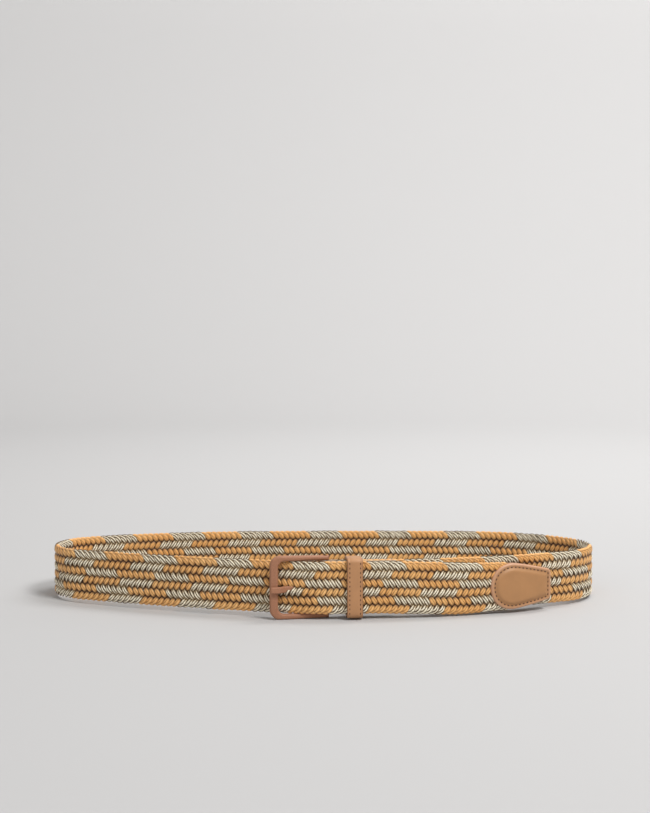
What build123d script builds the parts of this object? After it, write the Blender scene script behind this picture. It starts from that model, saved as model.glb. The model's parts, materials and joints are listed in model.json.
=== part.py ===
from build123d import *
import os
from math import atan2, cos, degrees, radians, sin

# A braided stretch belt with leather trim, buckled and standing on its edge.
#
# Belt frame, used while the pieces are made, in millimetres: Z runs across the
# strap with zero at its mid height, the hinge pin's axis is the Z axis, and the
# doubled stretch beside the buckle runs straight along +X. The wearer is on the
# +Y side, so -Y is the outside of the buckle. The pieces are turned and stood
# on the floor at the end, by `stance`.

# ---- Driving dimensions -------------------------------------------------------

strap_width = 35.0
strap_thickness = 4.6
strap_edge_round = 1.6

# The loop, from the hinge pin round the wearer: a straight run, then bends as
# (radius, sweep in degrees), each tangent to the one before.
straight_run = 42.0
loop_bends = [
    (346.9, 22.0),
    (44.5, 104.0),
    (100.0, 46.0),
    (1580.0, 6.0),
    (356.0, 20.0),
    (37.0, 133.0),
    (790.0, 10.0),
]
lift_radius = 40.0
lift_end_x = 0.6
braid_start_x = 8.0

# Buckle frame, flat in its own plane and turned outwards about the hinge pin.
frame_swing = 5.0
frame_length = 40.3
frame_height = 43.2
frame_hinge_overhang = 2.6
frame_bar_width = 5.6
frame_side_width = 3.8
frame_side_taper = 0.6
frame_depth = 4.4
frame_corner = 7.0
frame_window_corner = 4.4
frame_edge_round = 1.5

pin_radius = 1.5
running_clearance = 0.05

prong_height = 4.3
prong_thickness = 2.6
prong_drop = 1.2
prong_curl_wall = 1.2
prong_bend_start = 27.0
prong_bend_end = 31.6
prong_bend_radius = 3.6
prong_edge_round = 0.9
slot_clearance = 0.4
slot_from_x = -32.0
slot_to_x = -5.0

chape_thickness = 1.2
chape_height = 35.2
chape_length = 48.0
chape_grip_gap = 0.1
chape_level_x = 8.0
chape_slot_x = 6.5
chape_thread_inset = 2.6
chape_thread_start = 9.0

keeper_width = 10.7
keeper_height = 40.2
keeper_centre_x = 19.3
keeper_rise = -0.1
keeper_leather_ply = 1.2
keeper_lining_ply = 0.8
keeper_slack = 0.6
keeper_corner = 3.2
keeper_seam_gap = 0.3
keeper_thread_inset = 1.6
keeper_stitches = 12
staple_wire = 0.9
staple_span = 7.0

# The leather tip sits on the last bend of the free end, between these angles
# counted round the bend from where it starts.
tip_from_angle = 11.6
tip_to_angle = 19.0
tip_height = 31.6
tip_end_height = 22.0
tip_ply = 1.2
tip_corner = 3.0
tip_least_corner = 0.6
tip_bulge_share = 0.36
tip_edge_cover = 2.2
tip_wall_gap = 0.1
tip_puff = 1.2
tip_border = 4.6
tip_thread_inset = 2.3
tip_band_overrun = 2.0
braid_short_of_tip = 0.6
narrowing_length = 30.0

stitch_length = 2.0
stitch_width = 0.7
stitch_pitch = 3.0
stitch_proud = 0.35

belt_yaw = 5.0

# Half lengths of cuts and outlines that pass right through the piece they work on.
belt_reach = 20.0
tip_reach = 8.0

half_strap = strap_thickness / 2

# ---- Route of the strap -------------------------------------------------------


def tangent_bends(last, bends):
    """Adds tangent arcs to the open BuildLine, one for each (radius, sweep)."""
    for radius, sweep in bends:
        last = JernArc(start=last @ 1, tangent=last % 1, radius=radius, arc_size=sweep)
    return last


# How far the strap leans outwards as it comes up to the buckle.
lead_angle = 360 - sum(sweep for radius, sweep in loop_bends)
lead_slope = radians(lead_angle)
with BuildLine() as strap_line:
    under_run = Line((braid_start_x, 0), (straight_run, 0))
    loop_end = tangent_bends(under_run, loop_bends)
    lift_start_x = lift_end_x - lift_radius * sin(lead_slope)
    lead_run = (lift_start_x - (loop_end @ 1).X) / cos(lead_slope)
    lead_in = Line(loop_end @ 1, loop_end @ 1 + (loop_end % 1) * lead_run)
    lift = JernArc(start=lead_in @ 1, tangent=lead_in % 1, radius=lift_radius, arc_size=lead_angle)
    # Distance between the middles of the two layers where the strap is doubled.
    lap = -(lift @ 1).Y
    lap_radius = loop_bends[0][0] + lap
    over_run = Line(lift @ 1, (straight_run, -lap))
    over_bend = JernArc(
        start=over_run @ 1,
        tangent=over_run % 1,
        radius=lap_radius,
        arc_size=tip_to_angle - braid_short_of_tip,
    )


def bend_plane(angle):
    """Plane on the middle of the free end, `angle` degrees round its last bend.

    Its x runs along the strap, its y up and its z outwards.
    """
    turn = radians(angle)
    centre = Vector(straight_run, loop_bends[0][0], 0)
    spot = centre + Vector(sin(turn), -cos(turn), 0) * lap_radius
    return Plane(origin=spot, x_dir=(cos(turn), sin(turn), 0), z_dir=(sin(turn), -cos(turn), 0))


def stitch_spots(line, pitch):
    """Places for stitches along a line, each turned to lie along it."""
    count = round(line.length / pitch)
    spots = []
    for index in range(count):
        along = (index + 0.5) / count
        heading = line % along
        spots.append(Location(line @ along, (0, 0, degrees(atan2(heading.Y, heading.X)))))
    return spots


# ---- Braided strap ------------------------------------------------------------

tip_plane = bend_plane((tip_from_angle + tip_to_angle) / 2)
tip_length = radians(tip_to_angle - tip_from_angle) * lap_radius
tip_widest = tip_length * (tip_bulge_share - 0.5)


def narrowing_line(cover):
    """Draws a closed line round what lies above the narrowed end of the braid."""
    Polyline(
        (-tip_length / 2 - narrowing_length, strap_width / 2),
        (tip_widest, tip_height / 2 - cover),
        (tip_length / 2, tip_end_height / 2 - cover),
        (tip_length / 2, strap_width),
        (-tip_length / 2 - narrowing_length, strap_width),
        close=True,
    )


strap_start = Plane(origin=(braid_start_x, 0, 0), x_dir=(0, 1, 0), z_dir=(1, 0, 0))
slot_height = prong_height + 2 * slot_clearance
with BuildPart() as braided_strap:
    with BuildSketch(strap_start):
        RectangleRounded(strap_thickness, strap_width, strap_edge_round)
    sweep(path=strap_line.wire())
    # The cords part round the prong where it comes through.
    with BuildSketch(Plane.XZ):
        with Locations(((slot_from_x + slot_to_x) / 2, -prong_drop)):
            SlotOverall(slot_to_x - slot_from_x, slot_height)
    extrude(amount=belt_reach, both=True, mode=Mode.SUBTRACT)
    # The free end narrows into the leather tip.
    with BuildSketch(tip_plane):
        with BuildLine():
            narrowing_line(tip_edge_cover)
        make_face()
        mirror(about=Plane.XZ)
    extrude(amount=tip_reach, both=True, mode=Mode.SUBTRACT)

# ---- Buckle -------------------------------------------------------------------

frame_turn = radians(frame_swing)
frame_plane = Plane(
    origin=(0, 0, 0),
    x_dir=(cos(frame_turn), sin(frame_turn), 0),
    z_dir=(sin(frame_turn), -cos(frame_turn), 0),
)
frame_left = frame_hinge_overhang - frame_length
window_half = frame_height / 2 - frame_side_width
lug_half = frame_height / 2 - frame_side_taper
with BuildPart() as buckle_frame:
    with BuildSketch(frame_plane):
        with BuildLine():
            Polyline(
                (frame_left, frame_height / 2),
                (frame_hinge_overhang, lug_half),
                (frame_hinge_overhang, window_half),
                (frame_left + frame_bar_width, window_half),
                (frame_left + frame_bar_width, -window_half),
                (frame_hinge_overhang, -window_half),
                (frame_hinge_overhang, -lug_half),
                (frame_left, -frame_height / 2),
                close=True,
            )
        make_face()
        fillet(vertices().group_by(Axis.X)[1], frame_window_corner)
        fillet(vertices().group_by(Axis.X)[0], frame_corner)
    extrude(amount=frame_depth / 2, both=True)
    outward = Axis(origin=(0, 0, 0), direction=frame_plane.z_dir)
    fillet(edges().filter_by(outward, reverse=True), frame_edge_round)
    with BuildSketch():
        Circle(pin_radius)
    extrude(amount=frame_height / 2, both=True, mode=Mode.SUBTRACT)

pin_half = lug_half - frame_edge_round / 2
with BuildPart() as hinge_pin:
    with BuildSketch():
        Circle(pin_radius)
    extrude(amount=pin_half, both=True)

# The prong's outline, seen along the pin: a curl round the pin, a shank that
# runs in the frame's plane and a bend that lays its end on the outer bar.
prong_plane = Plane(
    origin=(0, 0, -prong_drop),
    x_dir=frame_plane.x_dir,
    z_dir=(0, 0, 1),
)
prong_rest = frame_depth / 2 + prong_thickness / 2 + running_clearance
curl_radius = pin_radius + running_clearance + prong_curl_wall
with BuildPart() as prong:
    with BuildSketch(prong_plane):
        with BuildLine():
            FilletPolyline(
                (0, 0),
                (-prong_bend_start, 0),
                (-prong_bend_end, -prong_rest),
                (frame_left + prong_thickness / 2, -prong_rest),
                radius=prong_bend_radius,
            )
            offset(amount=prong_thickness / 2)
        make_face()
        Circle(curl_radius)
    extrude(amount=prong_height / 2, both=True)
    fillet(faces().group_by(Axis.Z)[0].edges(), prong_edge_round)
    fillet(faces().group_by(Axis.Z)[-1].edges(), prong_edge_round)
    with BuildSketch(prong_plane):
        Circle(pin_radius + running_clearance)
    extrude(amount=prong_height, both=True, mode=Mode.SUBTRACT)

# ---- Chape: one leather strip folded round the pin, sewn to the braid's start --

chape_ply_y = half_strap + chape_grip_gap + chape_thickness / 2
chape_wrap = pin_radius + running_clearance + chape_thickness / 2
with BuildPart() as chape_leather:
    with BuildSketch():
        with BuildLine():
            Polyline((chape_length, -chape_ply_y), (chape_level_x, -chape_ply_y), (0, -chape_wrap))
            ThreePointArc((0, -chape_wrap), (-chape_wrap, 0), (0, chape_wrap))
            Polyline((0, chape_wrap), (chape_level_x, chape_ply_y), (chape_length, chape_ply_y))
            offset(amount=chape_thickness / 2)
        make_face()
    extrude(amount=chape_height / 2, both=True)
    with BuildSketch(Plane.XZ):
        with Locations((0, -prong_drop)):
            SlotOverall(2 * chape_slot_x, slot_height)
    extrude(amount=belt_reach, both=True, mode=Mode.SUBTRACT)

chape_face = chape_ply_y + chape_thickness / 2
with BuildPart() as chape_thread:
    for outward in (1, -1):
        chape_side = Plane(origin=(0, outward * chape_face, 0), x_dir=(outward, 0, 0), z_dir=(0, outward, 0))
        with BuildSketch(chape_side):
            with BuildLine(mode=Mode.PRIVATE) as chape_seam:
                Polyline(
                    (outward * chape_thread_start, chape_height / 2 - chape_thread_inset),
                    (outward * (chape_length - chape_thread_inset), chape_height / 2 - chape_thread_inset),
                    (outward * (chape_length - chape_thread_inset), chape_thread_inset - chape_height / 2),
                    (outward * chape_thread_start, chape_thread_inset - chape_height / 2),
                )
            for run in chape_seam.edges():
                with Locations(*stitch_spots(run, stitch_pitch)):
                    SlotOverall(stitch_length, stitch_width)
        extrude(amount=stitch_proud)

# ---- Keeper: a lined leather loop, closed by a staple at the back --------------

keeper_ply = keeper_leather_ply + keeper_lining_ply
keeper_front = -(lap + half_strap + keeper_slack + keeper_ply)
keeper_back = chape_face + keeper_slack + keeper_ply
keeper_middle = (keeper_front + keeper_back) / 2
keeper_depth = keeper_back - keeper_front
keeper_plane = Plane(
    origin=(keeper_centre_x - keeper_width / 2, keeper_middle, keeper_rise),
    x_dir=(0, 1, 0),
    z_dir=(1, 0, 0),
)


def keeper_ring(outside, inside):
    """Draws the keeper's ply between two depths below its outer face."""
    RectangleRounded(keeper_depth - 2 * outside, keeper_height - 2 * outside, keeper_corner - outside)
    RectangleRounded(
        keeper_depth - 2 * inside,
        keeper_height - 2 * inside,
        keeper_corner - inside,
        mode=Mode.SUBTRACT,
    )
    with Locations((keeper_depth / 2, 0)):
        Rectangle(keeper_depth, keeper_seam_gap, mode=Mode.SUBTRACT)


staple_leg_plane = Plane(
    origin=(keeper_centre_x, keeper_back, keeper_rise),
    x_dir=(1, 0, 0),
    z_dir=(0, -1, 0),
)
with BuildPart() as keeper_leather:
    with BuildSketch(keeper_plane):
        keeper_ring(0, keeper_leather_ply)
    extrude(amount=keeper_width)
    with BuildSketch(staple_leg_plane):
        with GridLocations(1, staple_span - staple_wire, 1, 2):
            Rectangle(staple_wire, staple_wire)
    extrude(amount=keeper_ply, mode=Mode.SUBTRACT)

with BuildPart() as keeper_lining:
    with BuildSketch(keeper_plane):
        keeper_ring(keeper_leather_ply, keeper_ply)
    extrude(amount=keeper_width)
    with BuildSketch(staple_leg_plane):
        with GridLocations(1, staple_span - staple_wire, 1, 2):
            Rectangle(staple_wire, staple_wire)
    extrude(amount=keeper_ply, mode=Mode.SUBTRACT)

with BuildPart() as keeper_staple:
    with BuildSketch(staple_leg_plane):
        with GridLocations(1, staple_span - staple_wire, 1, 2):
            Rectangle(staple_wire, staple_wire)
    extrude(amount=keeper_ply)
    with BuildSketch(staple_leg_plane):
        Rectangle(staple_wire, staple_span)
    extrude(amount=-staple_wire)


def keeper_thread(side):
    """Extrudes one row of stitches, front and back, at the keeper's -X or +X edge."""
    row_x = keeper_centre_x + side * (keeper_width / 2 - keeper_thread_inset)
    for face_y, outward in ((keeper_front, -1), (keeper_back, 1)):
        row_plane = Plane(origin=(row_x, face_y, keeper_rise), x_dir=(0, 0, 1), z_dir=(0, outward, 0))
        with BuildSketch(row_plane) as row:
            with GridLocations(stitch_pitch, 1, keeper_stitches, 1):
                SlotOverall(stitch_length, stitch_width)
        extrude(row.sketch, amount=stitch_proud)


with BuildPart() as keeper_thread_buckle_side:
    keeper_thread(-1)

with BuildPart() as keeper_thread_tip_side:
    keeper_thread(1)

# ---- Leather tip --------------------------------------------------------------


def tip_outline(inset):
    """Draws the tip's outline, moved inwards by `inset`: a half ellipse and a taper."""
    left = -tip_length / 2 + inset
    right = tip_length / 2 - inset
    half_wide = tip_height / 2 - inset
    half_end = tip_end_height / 2 - inset
    corner = max(tip_corner - inset, tip_least_corner)
    EllipticalCenterArc(
        (tip_widest, 0), tip_widest - left, half_wide, start_angle=90, arc_size=180
    )
    FilletPolyline(
        (tip_widest, -half_wide),
        (right, -half_end),
        (right, half_end),
        (tip_widest, half_wide),
        radius=corner,
    )


def tip_prism(inset, mode):
    """Extrudes the tip's outline, moved inwards by `inset`, through the strap."""
    with BuildSketch(tip_plane) as outline:
        with BuildLine():
            tip_outline(inset)
        make_face()
    extrude(outline.sketch, amount=tip_reach, both=True, mode=mode)


def tip_band(low, high, mode):
    """Extrudes the curved layer between two heights outward from the strap's middle."""
    start = tip_from_angle - tip_band_overrun - 90
    sweep_angle = tip_to_angle - tip_from_angle + 2 * tip_band_overrun
    with BuildSketch() as band:
        with BuildLine():
            centre = (straight_run, loop_bends[0][0])
            inner = CenterArc(centre, lap_radius + low, start, sweep_angle)
            outer = CenterArc(centre, lap_radius + high, start, sweep_angle)
            Line(inner @ 0, outer @ 0)
            Line(inner @ 1, outer @ 1)
        make_face()
    extrude(band.sketch, amount=strap_width / 2, both=True, mode=mode)


with BuildPart() as tip_wall:
    tip_prism(0, Mode.ADD)
    with BuildSketch(tip_plane):
        with BuildLine():
            narrowing_line(tip_edge_cover - tip_wall_gap)
        make_face()
        mirror(about=Plane.XZ)
    extrude(amount=tip_reach, both=True, mode=Mode.INTERSECT)
    tip_band(-half_strap, half_strap, Mode.INTERSECT)

with BuildPart() as tip_pad:
    tip_prism(tip_border, Mode.ADD)
    tip_band(half_strap + tip_ply / 2, half_strap + tip_ply + tip_puff, Mode.INTERSECT)

with BuildPart() as tip_front:
    tip_prism(0, Mode.ADD)
    tip_band(half_strap, half_strap + tip_ply, Mode.INTERSECT)
    add(tip_pad.part)
    add(tip_wall.part)

with BuildPart() as tip_back:
    tip_prism(0, Mode.ADD)
    tip_band(-half_strap - tip_ply, -half_strap, Mode.INTERSECT)

with BuildPart() as tip_thread:
    with BuildSketch(tip_plane):
        with BuildLine(mode=Mode.PRIVATE) as tip_seam:
            tip_outline(tip_thread_inset)
        with Locations(*stitch_spots(tip_seam.wire(), stitch_pitch)):
            SlotOverall(stitch_length, stitch_width)
    extrude(amount=tip_reach)
    tip_band(half_strap + tip_ply, half_strap + tip_ply + stitch_proud, Mode.INTERSECT)

# ---- Stance: turned a little and leaning back onto the strap's rear edge --------

pieces = {
    "braided_strap": braided_strap,
    "buckle_frame": buckle_frame,
    "hinge_pin": hinge_pin,
    "prong": prong,
    "chape_leather": chape_leather,
    "chape_thread": chape_thread,
    "keeper_leather": keeper_leather,
    "keeper_lining": keeper_lining,
    "keeper_staple": keeper_staple,
    "keeper_thread_buckle_side": keeper_thread_buckle_side,
    "keeper_thread_tip_side": keeper_thread_tip_side,
    "tip_front": tip_front,
    "tip_back": tip_back,
    "tip_thread": tip_thread,
}
turned = Location((0, 0, 0), (0, 0, belt_yaw))
strap_box = braided_strap.part.moved(turned).bounding_box()
frame_box = buckle_frame.part.moved(turned).bounding_box()
lean_angle = degrees(atan2((frame_height - strap_width) / 2, strap_box.max.Y - frame_box.min.Y))
leaning = Location((0, 0, 0), (-lean_angle, 0, 0)) * turned
whole = Compound([piece.part.moved(leaning) for piece in pieces.values()])
box = whole.bounding_box()
stance = Location((-box.center().X, -box.center().Y, -box.min.Z)) * leaning

os.makedirs("parts", exist_ok=True)
for name, piece in pieces.items():
    piece.part.move(stance)
    piece.part.label = name
    export_step(piece.part, f"parts/{name}.step")
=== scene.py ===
"""Dresses the braided stretch belt: its cords, leather trims, stitches and metal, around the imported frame.

Every soft piece is worked out flat and then bent round the loop. A flat place is (station, out, up):
the station runs along the strap's middle line from the hinge pin, out points away from the wearer and
up runs across the strap. Lengths are in metres.
"""

import json
import logging
import math
from collections.abc import Callable, Sequence
from dataclasses import dataclass, field
from enum import Enum

import bpy
import numpy as np
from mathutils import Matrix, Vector


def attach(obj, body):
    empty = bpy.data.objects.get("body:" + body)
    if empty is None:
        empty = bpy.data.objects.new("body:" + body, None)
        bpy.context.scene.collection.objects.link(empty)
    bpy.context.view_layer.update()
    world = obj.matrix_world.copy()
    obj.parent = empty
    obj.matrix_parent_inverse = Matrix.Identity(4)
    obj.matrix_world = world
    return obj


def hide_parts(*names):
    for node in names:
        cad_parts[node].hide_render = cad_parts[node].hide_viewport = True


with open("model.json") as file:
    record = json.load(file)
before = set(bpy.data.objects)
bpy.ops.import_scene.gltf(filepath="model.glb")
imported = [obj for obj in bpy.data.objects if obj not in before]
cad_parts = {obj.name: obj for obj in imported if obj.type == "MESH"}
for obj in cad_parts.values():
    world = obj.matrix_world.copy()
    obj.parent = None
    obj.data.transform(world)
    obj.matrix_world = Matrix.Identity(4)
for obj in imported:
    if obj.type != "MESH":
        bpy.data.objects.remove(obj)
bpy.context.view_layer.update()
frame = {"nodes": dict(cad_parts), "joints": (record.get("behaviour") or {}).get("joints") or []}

Array = np.ndarray
Colour = tuple[float, float, float]

log = logging.getLogger("belt")

MM = 0.001
OUTWARD = np.array([0.0, 1.0, 0.0])
STITCH_RINGS = 5
STITCH_SIDES = 6
STITCH_END_TURN = 0.12


# ---- Shader maths ----------------------------------------------------------------


class Wire:
    """A node socket that adds Math nodes when it is used in an expression."""

    def __init__(self, bench: "Bench", socket: bpy.types.NodeSocket) -> None:
        """Wraps one output socket of a bench's node tree."""
        self.bench = bench
        self.socket = socket

    def maths(self, operation: str, *values: "Wire | float", clamp: bool = False) -> "Wire":
        """Adds one Math node.

        Args:
            operation: The Math node's operation.
            values: Its inputs, in order.
            clamp: Whether the result is held between 0 and 1.

        Returns:
            The node's output.
        """
        settings = {"operation": operation, "use_clamp": clamp}
        return self.bench.node("ShaderNodeMath", settings, dict(enumerate(values)))

    def __add__(self, other: "Wire | float") -> "Wire":
        """Returns self + other."""
        return self.maths("ADD", self, other)

    __radd__ = __add__

    def __sub__(self, other: "Wire | float") -> "Wire":
        """Returns self - other."""
        return self.maths("SUBTRACT", self, other)

    def __rsub__(self, other: "Wire | float") -> "Wire":
        """Returns other - self."""
        return self.maths("SUBTRACT", other, self)

    def __mul__(self, other: "Wire | float") -> "Wire":
        """Returns self times other."""
        return self.maths("MULTIPLY", self, other)

    __rmul__ = __mul__

    def sine(self) -> "Wire":
        """Returns the sine of self, in radians."""
        return self.maths("SINE", self)

    def held(self) -> "Wire":
        """Returns self held between 0 and 1."""
        return self.maths("ADD", self, 0.0, clamp=True)


class Bench:
    """A material's node tree, with a Principled shader ready to be fed."""

    def __init__(self, name: str) -> None:
        """Makes the material.

        Args:
            name: The material's name.
        """
        self.material = bpy.data.materials.new(name)
        self.material.use_nodes = True
        self.tree = self.material.node_tree
        self.tree.nodes.clear()
        self.shader = self.tree.nodes.new("ShaderNodeBsdfPrincipled")
        output = self.tree.nodes.new("ShaderNodeOutputMaterial")
        self.tree.links.new(self.shader.outputs[0], output.inputs[0])

    def feed(self, node: bpy.types.Node, values: dict) -> None:
        """Sets or links a node's inputs.

        Args:
            node: The node.
            values: Input name or index to a Wire, a number or a tuple.
        """
        for key, value in values.items():
            if isinstance(value, Wire):
                self.tree.links.new(value.socket, node.inputs[key])
            else:
                node.inputs[key].default_value = value

    def node(
        self, kind: str, settings: dict | None = None, values: dict | None = None, out: str | int = 0
    ) -> Wire:
        """Adds any node.

        Args:
            kind: The node's type.
            settings: Attributes to set first; "stops" holds a ramp's (position, colour) pairs.
            values: Input name or index to a Wire, a number or a tuple.
            out: The output wanted.

        Returns:
            That output.
        """
        made = self.tree.nodes.new(kind)
        for key, value in (settings or {}).items():
            if key == "stops":
                self.set_stops(made, value)
            else:
                setattr(made, key, value)
        self.feed(made, values or {})
        return Wire(self, made.outputs[out])

    @staticmethod
    def set_stops(ramp: bpy.types.Node, stops: Sequence[tuple[float, Colour]]) -> None:
        """Gives a two-stop ramp its (position, colour) pairs."""
        for element, (position, colour) in zip(ramp.color_ramp.elements, stops):
            element.position = position
            element.color = (*colour, 1.0)

    def place(self) -> Wire:
        """Returns Object coordinates."""
        return self.node("ShaderNodeTexCoord", out="Object")

    def value(self, name: str) -> Wire:
        """Returns the piece's own attribute of that name."""
        return self.node("ShaderNodeAttribute", {"attribute_name": name}, out="Fac")

    def noise(self, scale: float, detail: float = 2.0, at: Wire | None = None) -> Wire:
        """Returns noise from 0 to 1.

        Args:
            scale: Lumps per metre.
            detail: Octaves.
            at: Where it is read; Object coordinates when left out.
        """
        values = {"Vector": at or self.place(), "Scale": scale, "Detail": detail}
        return self.node("ShaderNodeTexNoise", values=values, out=0)

    def mix(self, share: Wire, low: Wire | Colour, high: Wire | Colour) -> Wire:
        """Mixes two colours: low at share 0 and high at share 1."""
        ends = [c if isinstance(c, Wire) else (*c, 1.0) for c in (low, high)]
        values = {0: share, 6: ends[0], 7: ends[1]}
        return self.node("ShaderNodeMix", {"data_type": "RGBA"}, values, out=2)

    def finish(
        self, colour: Wire, roughness: Wire | float, height: Wire, depth: float, **fixed: float
    ) -> bpy.types.Material:
        """Feeds the shader and returns the material.

        Args:
            colour: Base colour.
            roughness: Roughness.
            height: Relief, from 0 to 1.
            depth: The relief's height in metres.
            fixed: Constants for the shader's own sockets, with _ for a space in the name.
        """
        normal = self.node("ShaderNodeBump", values={"Height": height, "Distance": depth, "Strength": 1.0})
        self.feed(self.shader, {"Base Color": colour, "Roughness": roughness, "Normal": normal})
        self.feed(self.shader, {key.replace("_", " "): value for key, value in fixed.items()})
        return self.material


# ---- Finishes --------------------------------------------------------------------


def tinted(colour: Colour, factor: float) -> Colour:
    """Returns the colour times factor, with each part held at 1."""
    return tuple(min(1.0, part * factor) for part in colour)


@dataclass(frozen=True)
class WaxedCord:
    """Plump waxed cotton cord: two plies side by side, with painted shade in the groove between them and deep
    painted shade in the creases.
    """

    name: str = "waxed_cord"
    crown: Colour = (0.78, 0.375, 0.108)
    bright: Colour = (0.95, 0.60, 0.25)
    # Painted shade: the near-black colour where the cord is hidden in the creases of the braid and along the
    # groove between its plies.
    crease_shade: Colour = (0.060, 0.020, 0.005)
    plies: float = 5.0

    def material(self) -> bpy.types.Material:
        """Builds the material."""
        bench = Bench(self.name)
        uv = bench.node("ShaderNodeUVMap", {"uv_map": "length"})
        around = bench.node("ShaderNodeSeparateXYZ", values={"Vector": uv}, out="Y")
        fibre_at = bench.node("ShaderNodeMapping", values={"Vector": uv, "Scale": (0.5, 10.0, 1.0)})
        fibre = bench.noise(2.2, 3.0, fibre_at)
        patch = bench.noise(300.0, 2.0)
        batch = bench.noise(40.0, 1.0)
        side = (around * (2 * math.pi) + math.pi / 2 + (fibre - 0.5) * 0.5).sine()
        # Painted shade along the groove between the two plies: this mask pulls the colour there towards the
        # shade colour and also lowers the bump.
        parting = (side * side * 9.0 + 0.50).held()
        lines = (around * (2 * math.pi * self.plies) + fibre * 5.0).sine() * 0.5 + 0.5
        # Painted shade from the crown attribute: where the cord is hidden in the braid, the colour falls to
        # the shade colour.
        lit_share = (bench.value("crown") * 1.9 + (patch - 0.5) * 0.4 - 0.62).held() * parting
        face = bench.mix((lines * fibre + (batch - 0.5) * 0.9).held(), self.crown, self.bright)
        colour = bench.mix(lit_share, self.crease_shade, face)
        height = parting * 0.5 + lines * 0.25 + fibre * 0.25
        roughness = 0.58 - fibre * 0.2
        return bench.finish(colour, roughness, height, 0.0001, Specular_IOR_Level=0.4, Sheen_Weight=0.08)


@dataclass(frozen=True)
class TwistedYarn:
    """Matt cotton yarn with its plies twisted round each other, darkened towards its dark colour as painted
    shade in the creases.
    """

    name: str
    light: Colour
    # Darker colour of the twist, also painted as shade in the creases.
    dark: Colour
    turn: float = 1.5 * MM
    # Share of the lit colour kept in the creases; the rest is painted shade.
    lit_share_in_crease: float = 0.12

    def material(self) -> bpy.types.Material:
        """Builds the material."""
        bench = Bench(self.name)
        uv = bench.node("ShaderNodeUVMap", {"uv_map": "length"})
        along = bench.node("ShaderNodeSeparateXYZ", values={"Vector": uv}, out="X")
        around = bench.node("ShaderNodeSeparateXYZ", values={"Vector": uv}, out="Y")
        fuzz = bench.noise(1800.0, 3.0)
        patch = bench.noise(170.0, 2.0)
        twist = along * (2 * math.pi * MM / self.turn) + around * (4 * math.pi)
        ply = (twist + fuzz * 1.5).sine() * 0.5 + 0.5
        # Painted shade from the crown attribute: hidden parts of the yarn fall towards the dark colour.
        lit_share = (bench.value("crown") * 1.9 - 0.62).held() * (1 - self.lit_share_in_crease) + self.lit_share_in_crease
        share = (ply * 0.25 + patch * 0.6 + 0.42).held() * lit_share
        colour = bench.mix(share, self.dark, self.light)
        return bench.finish(colour, 0.88 - fuzz * 0.1, ply * 0.7 + fuzz * 0.3, 0.00011, Sheen_Weight=0.25)


@dataclass(frozen=True)
class SmoothLeather:
    """Smooth dressed leather: fine grain, faint mottling and burnished edges."""

    name: str
    colour: Colour
    edge: Colour
    roughness: float = 0.46
    grain: float = 2600.0
    relief: float = 0.00005

    def material(self) -> bpy.types.Material:
        """Builds the material."""
        bench = Bench(self.name)
        cells = bench.node("ShaderNodeTexVoronoi", values={"Vector": bench.place(), "Scale": self.grain})
        pores = bench.noise(self.grain * 0.8, 3.0)
        mottle = bench.noise(120.0, 3.0)
        broad = bench.noise(38.0, 1.0)
        tone = (mottle * 0.7 + broad * 0.6 - 0.1).held()
        face = bench.mix(tone, tinted(self.colour, 0.80), tinted(self.colour, 1.12))
        worn = (bench.value("edge") * 1.1 + pores * 0.3 - 0.2).held()
        colour = bench.mix(worn, face, self.edge)
        roughness = self.roughness + mottle * 0.14 - bench.value("edge") * 0.08
        height = cells * 0.6 + pores * 0.4
        return bench.finish(colour, roughness, height, self.relief, Specular_IOR_Level=0.45)


@dataclass(frozen=True)
class PowderCoat:
    """Matt powder-coated metal with a fine speckle."""

    name: str = "powder_coat"
    colour: Colour = (0.37, 0.165, 0.088)

    def material(self) -> bpy.types.Material:
        """Builds the material."""
        bench = Bench(self.name)
        speck = bench.noise(2400.0, 2.0)
        broad = bench.noise(90.0, 2.0)
        tone = (speck * 1.5 + broad * 0.5 - 0.55).held()
        colour = bench.mix(tone, tinted(self.colour, 0.72), tinted(self.colour, 1.28))
        roughness = 0.50 + speck * 0.16
        return bench.finish(colour, roughness, speck, 0.00004, Specular_IOR_Level=0.5)


@dataclass(frozen=True)
class DrawnWire:
    """Plain drawn steel wire, brushed lengthways."""

    name: str = "drawn_wire"
    colour: Colour = (0.52, 0.52, 0.53)

    def material(self) -> bpy.types.Material:
        """Builds the material."""
        bench = Bench(self.name)
        drawn = {"Vector": bench.place(), "Scale": (1.0, 1.0, 0.06)}
        brushed_at = bench.node("ShaderNodeMapping", values=drawn)
        brushed = bench.noise(5200.0, 3.0, brushed_at)
        colour = bench.mix(brushed, tinted(self.colour, 0.75), self.colour)
        return bench.finish(colour, 0.3 + brushed * 0.2, brushed, 0.00001, Metallic=1.0)


@dataclass(frozen=True)
class SewingThread:
    """Waxed sewing thread with a visible twist."""

    name: str
    colour: Colour

    def material(self) -> bpy.types.Material:
        """Builds the material."""
        bench = Bench(self.name)
        twist = bench.noise(3600.0, 2.0)
        colour = bench.mix(twist, tinted(self.colour, 0.6), self.colour)
        return bench.finish(colour, 0.6 - twist * 0.1, twist, 0.00008, Sheen_Weight=0.1)


@dataclass(frozen=True)
class StudioPaper:
    """The pale seamless paper that the belt stands on."""

    name: str = "studio_paper"
    colour: Colour = (0.515, 0.508, 0.504)

    def material(self) -> bpy.types.Material:
        """Builds the material."""
        bench = Bench(self.name)
        fibre = bench.noise(900.0, 2.0)
        colour = bench.mix(fibre, self.colour, tinted(self.colour, 1.01))
        return bench.finish(colour, 0.9, fibre, 0.00001)


# ---- Meshes ----------------------------------------------------------------------


class Face(Enum):
    """A face of the strap, as the way out of it."""

    OUTER = 1.0
    WEARER = -1.0


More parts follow.
